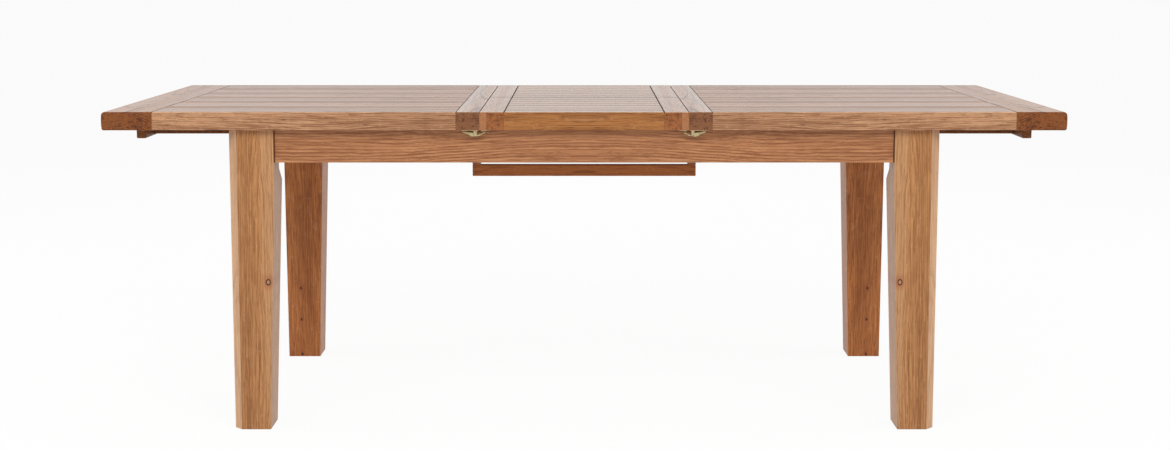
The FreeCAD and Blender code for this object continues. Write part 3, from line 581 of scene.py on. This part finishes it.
# Grooves in the top face: axis, place, half width and colour
LINE = colour(46, 28, 22)
SEAM_LINE = colour(78, 40, 26)
END_GROOVE = ("X", END_JOINT, 0.0016, LINE)
INNER_GROOVE = ("X", INNER_JOINT, 0.0017, LINE)
LEAF_GROOVE = ("X", LEAF_JOINT, 0.0023, LINE)
FOLD_GROOVE = ("Y", 0.0, 0.0042, SEAM_LINE)
SEAM_GROOVE = ("X", SEAM, 0.0019, SEAM_LINE)

# Knots in the legs, with their radii along X and Z, and a painted shadow: a dark band on the apron where it
# meets a leg, for the shade the leg casts on the recessed apron
FRONT_KNOT = (LEG_INNER + 0.019, 0.365)
FRONT_KNOT_RADII = (0.0065, 0.0085)
BACK_KNOT_LINE = LEG_INNER + 0.072
BACK_KNOT_HEIGHTS = (0.202, 0.110, 0.007)
BACK_KNOT_RADII = (0.003, 0.004)
APRON_PAINTED_SHADOW = colour(84, 44, 24)
APRON_PAINTED_SHADOW_HALF = 0.003

# The pale stave's colours reach this far past the seam, in metres
PAST_SEAM = 0.01

# Gloss of the battens and runners, which is less than that of other pieces
DULL_GLOSS = 0.1


def make_top_oak():
    oak = Oak("oak_top_boards", "XYZ", TOP_WOOD, seed=2.3)
    oak.boards(TOP_BOARD)
    oak.lacquer(TOP_FACE, TOP_COAT)
    # Painted highlight on the upper arrises
    oak.faced(oak.arris, ARRIS_PAINTED_HIGHLIGHT)
    oak.groove(*END_GROOVE)
    oak.groove(*INNER_GROOVE)
    return oak.finish(TOP_MIDDLE)


def make_leaf_oak():
    oak = Oak("oak_leaf_boards", "XYZ", LEAF_WOOD, seed=11.7)
    oak.boards(LEAF_BOARD)
    oak.lacquer(LEAF_FACE, LEAF_COAT)
    # Painted highlight on the upper arrises
    oak.faced(oak.arris, ARRIS_PAINTED_HIGHLIGHT)
    oak.groove(*LEAF_GROOVE)
    oak.groove(*FOLD_GROOVE)
    return oak.finish(TOP_MIDDLE)


def make_end_board_oak():
    oak = Oak("oak_end_boards", "YXZ", CROSS_WOOD, seed=31.1)
    oak.about(middle_of("right_end_board", "X"))
    oak.cap = END_BOARD_CAP
    oak.ring = CROSS_RING
    oak.contrast = CROSS_CONTRAST
    oak.lacquer(TOP_FACE, TOP_COAT, CROSS_SHEEN)
    oak.groove(*END_GROOVE)
    return oak.finish(TOP_MIDDLE)


def make_inner_board_oak():
    oak = Oak("oak_inner_boards", "YXZ", CROSS_WOOD, seed=37.9)
    oak.about(middle_of("right_inner_board", "X"))
    oak.cap = INNER_BOARD_CAP
    oak.ring = CROSS_RING
    oak.contrast = CROSS_CONTRAST
    oak.lacquer(TOP_FACE, LEAF_COAT, CROSS_SHEEN)
    # Painted highlight on the upper arrises
    oak.faced(oak.arris, ARRIS_PAINTED_HIGHLIGHT)
    oak.groove(*INNER_GROOVE)
    oak.groove(*SEAM_GROOVE)
    return oak.finish(TOP_MIDDLE)


def make_stave_oak():
    oak = Oak("oak_leaf_staves", "YXZ", CROSS_WOOD, seed=41.3)
    oak.parted(SEAM + PAST_SEAM, PALE_WOOD, oak.end)
    oak.parted(STAVE_LINE, TAWNY_WOOD, oak.end)
    oak.about(STAVE_LINE)
    oak.cap = STAVE_CAP
    oak.lacquer(TOP_FACE, LEAF_COAT, CROSS_SHEEN)
    # Painted highlight on the upper arrises
    oak.faced(oak.arris, ARRIS_PAINTED_HIGHLIGHT)
    oak.groove(*LEAF_GROOVE)
    oak.groove(*FOLD_GROOVE)
    oak.groove(*SEAM_GROOVE)
    return oak.finish(TOP_MIDDLE)


def make_front_leg_oak():
    oak = Oak("oak_front_legs", "ZYX", OUTER_WOOD, seed=53.7)
    oak.parted(LEG_LINE, INNER_WOOD)
    # Painted highlight on the chamfers
    oak.faced(oak.slant, CHAMFER_PAINTED_HIGHLIGHT)
    oak.knot(FRONT_KNOT, FRONT_KNOT_RADII, (KNOT_HALO, KNOT_RIM, KNOT_HEART))
    return oak.finish(depth_from=0.5)


def make_back_leg_oak():
    oak = Oak("oak_back_legs", "ZYX", BACK_WOOD, seed=57.1)
    # Painted highlight on the chamfers
    oak.faced(oak.slant, CHAMFER_PAINTED_HIGHLIGHT)
    for height in BACK_KNOT_HEIGHTS:
        oak.knot((BACK_KNOT_LINE, height), BACK_KNOT_RADII, (KNOT_HALO, KNOT_RIM))
    return oak.finish(depth_from=0.5)


def make_apron_oak():
    oak = Oak("oak_aprons", "XZY", APRON_WOOD, seed=61.9)
    oak.ring = APRON_RING
    oak.contrast = APRON_CONTRAST
    # Painted shadow: a dark band on the apron beside each leg
    oak.layers.append((oak.near("X", LEG_INNER, APRON_PAINTED_SHADOW_HALF), APRON_PAINTED_SHADOW))
    return oak.finish(depth_from=0.0)


def make_plain_oak(name, axes, wood, seed, depth_from, **settings):
    """Oak without joints or knots; the settings change what a finish starts with, such as its cap."""
    oak = Oak(name, axes, wood, seed)
    for key, value in settings.items():
        setattr(oak, key, value)
    return oak.finish(depth_from)


# Metals: noise as for the oak, where dull patches start and are full, and the wear in the roughness
METAL_CLOUD = ((160.0, 160.0, 160.0), 4.0, 0.6)
METAL_LINES = ((300.0, 4200.0, 4200.0), 2.0, 0.5)
METAL_DULL = (0.40, 0.70)
METAL_WEAR = 0.22
METAL_RELIEF = 0.2
METAL_RELIEF_DEPTH = 0.0001


def make_metal(name, base, dull, rough):
    material = bpy.data.materials.new(name)
    material.use_nodes = True
    g = Graph(material.node_tree)
    shader = material.node_tree.nodes["Principled BSDF"].inputs
    shader["Metallic"].default_value = 1.0
    place = g.add("ShaderNodeTexCoord").outputs["Object"]
    cloud = g.noise(place, *METAL_CLOUD)["Fac"]
    lines = g.noise(place, *METAL_LINES)["Fac"]
    g.feed(shader["Base Color"], g.mix(g.step(cloud, *METAL_DULL), base, dull))
    g.feed(shader["Roughness"], g.math("MULTIPLY_ADD", cloud, METAL_WEAR, rough))
    g.feed(shader["Normal"], g.bump(lines, METAL_RELIEF, METAL_RELIEF_DEPTH))
    return material


MATERIALS = {
    "top_boards": make_top_oak(),
    "leaf_boards": make_leaf_oak(),
    "end_board": make_end_board_oak(),
    "inner_board": make_inner_board_oak(),
    "staves": make_stave_oak(),
    "front_leg": make_front_leg_oak(),
    "back_leg": make_back_leg_oak(),
    "apron": make_apron_oak(),
    "end_apron": make_plain_oak("oak_end_aprons", "YZX", APRON_WOOD, seed=67.3, depth_from=0.8),
    "rail": make_plain_oak("oak_rails", "XYZ", RAIL_WOOD, seed=71.7, depth_from=0.7),
    "side": make_plain_oak("oak_cradle_sides", "YZX", SIDE_WOOD, seed=79.1, depth_from=0.27, cap=PLAIN_CAP),
    "batten": make_plain_oak(
        "oak_battens", "YZX", BATTEN_WOOD, seed=80.3, depth_from=1.05, cap=PLAIN_CAP, gloss=DULL_GLOSS
    ),
    "block": make_plain_oak("oak_blocks", "YZX", BLOCK_WOOD, seed=83.9, depth_from=0.7, cap=PLAIN_CAP),
    "brass": make_metal("brass", colour(212, 194, 150), colour(146, 126, 84), rough=0.24),
    "steel": make_metal("steel", colour(196, 196, 192), colour(150, 150, 148), rough=0.28),
}

# Word in a solid's name, its finish, and the ease of its edges in metres; the first word that fits counts
FINISHES = (
    ("catch", "brass", 0.0003),
    ("keeper", "brass", 0.0003),
    ("hinge", "brass", 0.0),
    ("bolt", "steel", 0.0),
    ("top_boards", "top_boards", 0.0018),
    ("leaf_boards", "leaf_boards", 0.0018),
    ("end_board", "end_board", 0.0006),
    ("inner_board", "inner_board", 0.0018),
    ("staves", "staves", 0.0018),
    ("back_left_leg", "back_leg", 0.0018),
    ("back_right_leg", "back_leg", 0.0018),
    ("leg", "front_leg", 0.0018),
    ("end_apron", "end_apron", 0.0005),
    ("apron", "apron", 0.0005),
    ("guide_rail", "rail", 0.0010),
    ("cradle_rail", "rail", 0.0015),
    ("runner", "batten", 0.0010),
    ("cradle_side", "side", 0.0012),
    ("batten", "batten", 0.0025),
    ("blocks", "block", 0.0),
)

# Points this near are joined, in metres, as are faces this flat; sharper edges than this are eased
WELD_REACH = 0.00001
FLAT_ANGLE = math.radians(1)
EASE_ANGLE = math.radians(25)
EASE_SEGMENTS = 2

# An edge of a closed shell has so many faces
FACES_PER_EDGE = 2


def make_glue_group():
    """Makes glued boards one shell: faces between them go, as all their edges have more than two faces."""
    tree = bpy.data.node_groups.new("glue", "GeometryNodeTree")
    for way in ("INPUT", "OUTPUT"):
        tree.interface.new_socket(name="Geometry", in_out=way, socket_type="NodeSocketGeometry")
    g = Graph(tree)
    given = g.add("NodeGroupInput").outputs
    neighbours = g.add("GeometryNodeInputMeshEdgeNeighbors").outputs
    between = g.add("FunctionNodeCompare", data_type="INT", operation="GREATER_THAN")
    g.feed(between.inputs[2], neighbours["Face Count"])
    g.feed(between.inputs[3], FACES_PER_EDGE)
    edges = g.add("GeometryNodeFieldOnDomain", domain="EDGE", data_type="BOOLEAN")
    g.feed(edges.inputs[0], between.outputs[0])
    remove = g.add("GeometryNodeDeleteGeometry", domain="FACE", mode="ONLY_FACE")
    g.feed(remove.inputs["Geometry"], given["Geometry"])
    g.feed(remove.inputs["Selection"], edges.outputs[0])
    g.feed(g.add("NodeGroupOutput").inputs["Geometry"], remove.outputs["Geometry"])
    return tree


GLUE = make_glue_group()


def ease_edges(node, ease):
    """Joins the solid's triangles into flat faces, glues its boards and rounds its edges."""
    weld = node.modifiers.new("weld", "WELD")
    weld.merge_threshold = WELD_REACH
    flat = node.modifiers.new("flat", "DECIMATE")
    flat.decimate_type = "DISSOLVE"
    flat.angle_limit = FLAT_ANGLE
    glue = node.modifiers.new("glue", "NODES")
    glue.node_group = GLUE
    bevel = node.modifiers.new("ease", "BEVEL")
    bevel.width = ease
    bevel.segments = EASE_SEGMENTS
    bevel.limit_method = "ANGLE"
    bevel.angle_limit = EASE_ANGLE
    bevel.harden_normals = True


for name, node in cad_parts.items():
    for word, finish, ease in FINISHES:
        if word in name:
            node.data.materials.clear()
            node.data.materials.append(MATERIALS[finish])
            if ease:
                ease_edges(node, ease)
            break

# Wood screws, in screw radii: a quarter of the cross recess, how far it narrows, and its floor and edge
RECESS = ((0.52, 0.12), (0.12, 0.12), (0.12, 0.52))
RECESS_TAPER = 0.72
RECESS_FLOOR = -0.30
RECESS_EDGE = 0.05

# Reach and height of the rings over the dished rim and down the shank
RINGS = ((0.62, 0.05), (0.86, 0.09), (1.0, 0.0), (0.45, -0.55), (0.40, -1.6))

# Turns a screw so that its head faces down
TURNED_DOWN = Vector((0, 0, 1)).rotation_difference(Vector((0, 0, -1))).to_matrix()


def screw_loops():
    """Loops of points from the floor of a screw's recess over its rim and down its shank."""
    corners = []
    for quarter in range(4):
        turn = Matrix.Rotation(quarter * math.pi / 2, 2)
        corners += [turn @ Vector(corner) for corner in RECESS]
    levels = [([corner * RECESS_TAPER for corner in corners], RECESS_FLOOR), (corners, RECESS_EDGE)]
    for reach, height in RINGS:
        levels.append(([corner.normalized() * reach for corner in corners], height))
    return [[(x, y, height) for x, y in level] for level, height in levels]


def make_screws(name, body, slot, radius, places):
    """One object with a screw at each place, with their heads facing down."""
    loops = screw_loops()
    count = len(loops[0])
    points = []
    faces = []
    for place in places:
        first = len(points)
        for loop in loops:
            points += [Vector(place) + TURNED_DOWN @ (Vector(point) * radius) for point in loop]
        faces.append([first + index for index in range(count)])
        for low in range(first, len(points) - count, count):
            for index in range(count):
                after = (index + 1) % count
                faces.append([low + after, low + index, low + count + index, low + count + after])
        faces.append([len(points) - 1 - index for index in range(count)])
    mesh = bpy.data.meshes.new(name)
    mesh.from_pydata([tuple(point) for point in points], [], faces)
    mesh.materials.append(MATERIALS[slot])
    screws = bpy.data.objects.new(name, mesh)
    scene.collection.objects.link(screws)
    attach(screws, body)


def spaced(first, step, count):
    return [first + step * index for index in range(count)]


# Where the screws are, on the right-hand side and at the back, in metres; an offset is from a middle line
PLATE_THICK = 0.0016
PLATE_FACE = TOP_LOW - PLATE_THICK
PLATE_LINES = (SEAM + 0.0215, SEAM + 0.0350)
KEEPER_LINE = SEAM - 0.0195
CATCH_LINE = TOP_SIDE - 0.014
KEEPER_OFFSET = 0.0038
BATTEN_LINE = middle_of("right_batten", "X")
BATTEN_FACE = start_of("right_batten", "Z")
BATTEN_PLACES = spaced(-0.270, 0.180, 4)
RUNNER_LINE = 0.224
RUNNER_FACE = start_of("right_back_runner", "Z")
RUNNER_PLACES = spaced(0.56, 0.16, 4)
CRADLE_SIDE = middle_of("right_cradle_side", "X")
CRADLE_RAIL = middle_of("back_cradle_rail", "Y")
CRADLE_FACE = start_of("back_cradle_rail", "Z")
CRADLE_OFFSET = 0.0055

# Radii of the screws' heads
PLATE_SCREW = 0.0021
KEEPER_SCREW = 0.0018
WOOD_SCREW = 0.0040

for side, sign in (("left", -1), ("right", 1)):
    plates = [(sign * x, y, PLATE_FACE) for x in PLATE_LINES for y in (-CATCH_LINE, CATCH_LINE)]
    battens = [(sign * BATTEN_LINE, y, BATTEN_FACE) for y in BATTEN_PLACES]
    runners = [(sign * x, y, RUNNER_FACE) for x in RUNNER_PLACES for y in (-RUNNER_LINE, RUNNER_LINE)]
    make_screws(side + "_plate_screws", side + "_top", "brass", PLATE_SCREW, plates)
    make_screws(side + "_batten_screws", side + "_top", "steel", WOOD_SCREW, battens + runners)
for side, sign in (("front", -1), ("back", 1)):
    lines = (CATCH_LINE - KEEPER_OFFSET, CATCH_LINE + KEEPER_OFFSET)
    keepers = [(x, sign * y, PLATE_FACE) for x in (-KEEPER_LINE, KEEPER_LINE) for y in lines]
    make_screws(side + "_keeper_screws", "leaf_" + side, "brass", KEEPER_SCREW, keepers)
near = CRADLE_RAIL - CRADLE_OFFSET
far = CRADLE_RAIL + CRADLE_OFFSET
cradle = [(x, y, CRADLE_FACE) for x in (-CRADLE_SIDE, CRADLE_SIDE) for y in (-far, -near, near, far)]
make_screws("cradle_screws", "frame", "steel", WOOD_SCREW, cradle)

# Floor: half its size and its place under the legs, in metres, its matte white and its share of plain white
FLOOR_HALF = 60.0
FLOOR_DROP = 0.0005
FLOOR_MATTE = (0.95, 0.95, 0.95, 1.0)
FLOOR_WHITE = 0.93


def make_floor_material():
    """White to the camera and in reflections, with the table's shadow kept."""
    material = bpy.data.materials.new("floor")
    material.use_nodes = True
    g = Graph(material.node_tree)
    material.node_tree.nodes.clear()
    path = g.add("ShaderNodeLightPath").outputs
    seen = g.math("MAXIMUM", path["Is Camera Ray"], path["Is Glossy Ray"])
    seen = g.math("MAXIMUM", seen, path["Is Transmission Ray"])
    matte = g.add("ShaderNodeBsdfDiffuse")
    matte.inputs["Color"].default_value = FLOOR_MATTE
    glow = g.add("ShaderNodeEmission")
    glow.inputs["Strength"].default_value = 1.0
    blend = g.add("ShaderNodeMixShader")
    surface = g.run(blend, g.times(seen, FLOOR_WHITE), matte.outputs[0], glow.outputs[0])[0]
    g.feed(g.add("ShaderNodeOutputMaterial").inputs["Surface"], surface)
    return material


def make_floor():
    mesh = bpy.data.meshes.new("floor")
    corners = [(x * FLOOR_HALF, y * FLOOR_HALF, 0) for x, y in ((-1, -1), (1, -1), (1, 1), (-1, 1))]
    mesh.from_pydata(corners, [], [(0, 1, 2, 3)])
    mesh.materials.append(make_floor_material())
    floor = bpy.data.objects.new("floor", mesh)
    scene.collection.objects.link(floor)
    floor.location.z = -FLOOR_DROP


# Room light, what reflections show before and behind the table, and where along Y one turns into the other
ROOM_LIGHT = 0.44
SHOWN_BEFORE = 0.25
SHOWN_BEHIND = 0.82
SHOWN_TURN = (-0.35, 0.25)


def make_world():
    """White to the camera; in reflections, bright behind the table and dim before it."""
    world = bpy.data.worlds.new("studio")
    scene.world = world
    world.use_nodes = True
    g = Graph(world.node_tree)
    world.node_tree.nodes.clear()
    path = g.add("ShaderNodeLightPath").outputs
    seen = g.math("MAXIMUM", path["Is Camera Ray"], path["Is Transmission Ray"])
    towards_back = g.split(g.add("ShaderNodeTexCoord").outputs["Generated"])[1]
    shown = g.step(towards_back, *SHOWN_TURN, SHOWN_BEFORE, SHOWN_BEHIND)
    mirrored = g.times(g.minus(shown, ROOM_LIGHT), path["Is Glossy Ray"])
    back = g.add("ShaderNodeBackground")
    back.inputs["Color"].default_value = (1.0, 1.0, 1.0, 1.0)
    g.feed(back.inputs["Strength"], g.plus(g.rising(seen, ROOM_LIGHT), mirrored))
    g.feed(g.add("ShaderNodeOutputWorld").inputs["Surface"], back.outputs[0])


# Soft lamps: name, place, aim, width, height, power, and whether the lacquer mirrors them
PAIRED_LAMPS = (
    ("key", (1.8, -3.6, 3.2), (0.6, 0.0, 0.5), 2.5, 2.0, 72, True),
    ("side", (4.4, 0.2, 1.9), (0.8, -0.1, 0.3), 2.6, 1.8, 50, False),
)
REAR_LAMP = ("rear", (0.0, 4.8, 2.4), (0.0, 0.0, 0.4), 3.6, 1.8, 34, False)


def make_softbox(side, name, place, aim, wide, tall, power, mirrored):
    """A soft lamp on one side of the table, where a side of -1 is the left."""
    lamp = bpy.data.lights.new(name, "AREA")
    lamp.shape = "RECTANGLE"
    lamp.size = wide
    lamp.size_y = tall
    lamp.energy = power
    light = bpy.data.objects.new(name, lamp)
    across = Vector((side, 1, 1))
    light.location = Vector(place) * across
    light.rotation_euler = ((Vector(aim) - Vector(place)) * across).to_track_quat("-Z", "Y").to_euler()
    light.visible_camera = False
    light.visible_glossy = mirrored
    scene.collection.objects.link(light)


make_floor()
make_world()
for side in (-1, 1):
    for lamp in PAIRED_LAMPS:
        make_softbox(side, *lamp)
make_softbox(1, *REAR_LAMP)

# Camera
lens = bpy.data.cameras.new("camera")
lens.sensor_width = SENSOR
lens.lens = SENSOR * FOCAL_PIXELS / PHOTO_WIDE
lens.shift_x = (PHOTO_WIDE / 2 - CENTRE_X) / PHOTO_WIDE
lens.shift_y = (CENTRE_Y - PHOTO_TALL / 2) / PHOTO_WIDE
lens.clip_end = FARTHEST
camera = bpy.data.objects.new("camera", lens)
camera.location = CAMERA_PLACE
camera.rotation_euler = (math.pi / 2 - CAMERA_TILT, 0.0, 0.0)
scene.collection.objects.link(camera)
scene.camera = camera
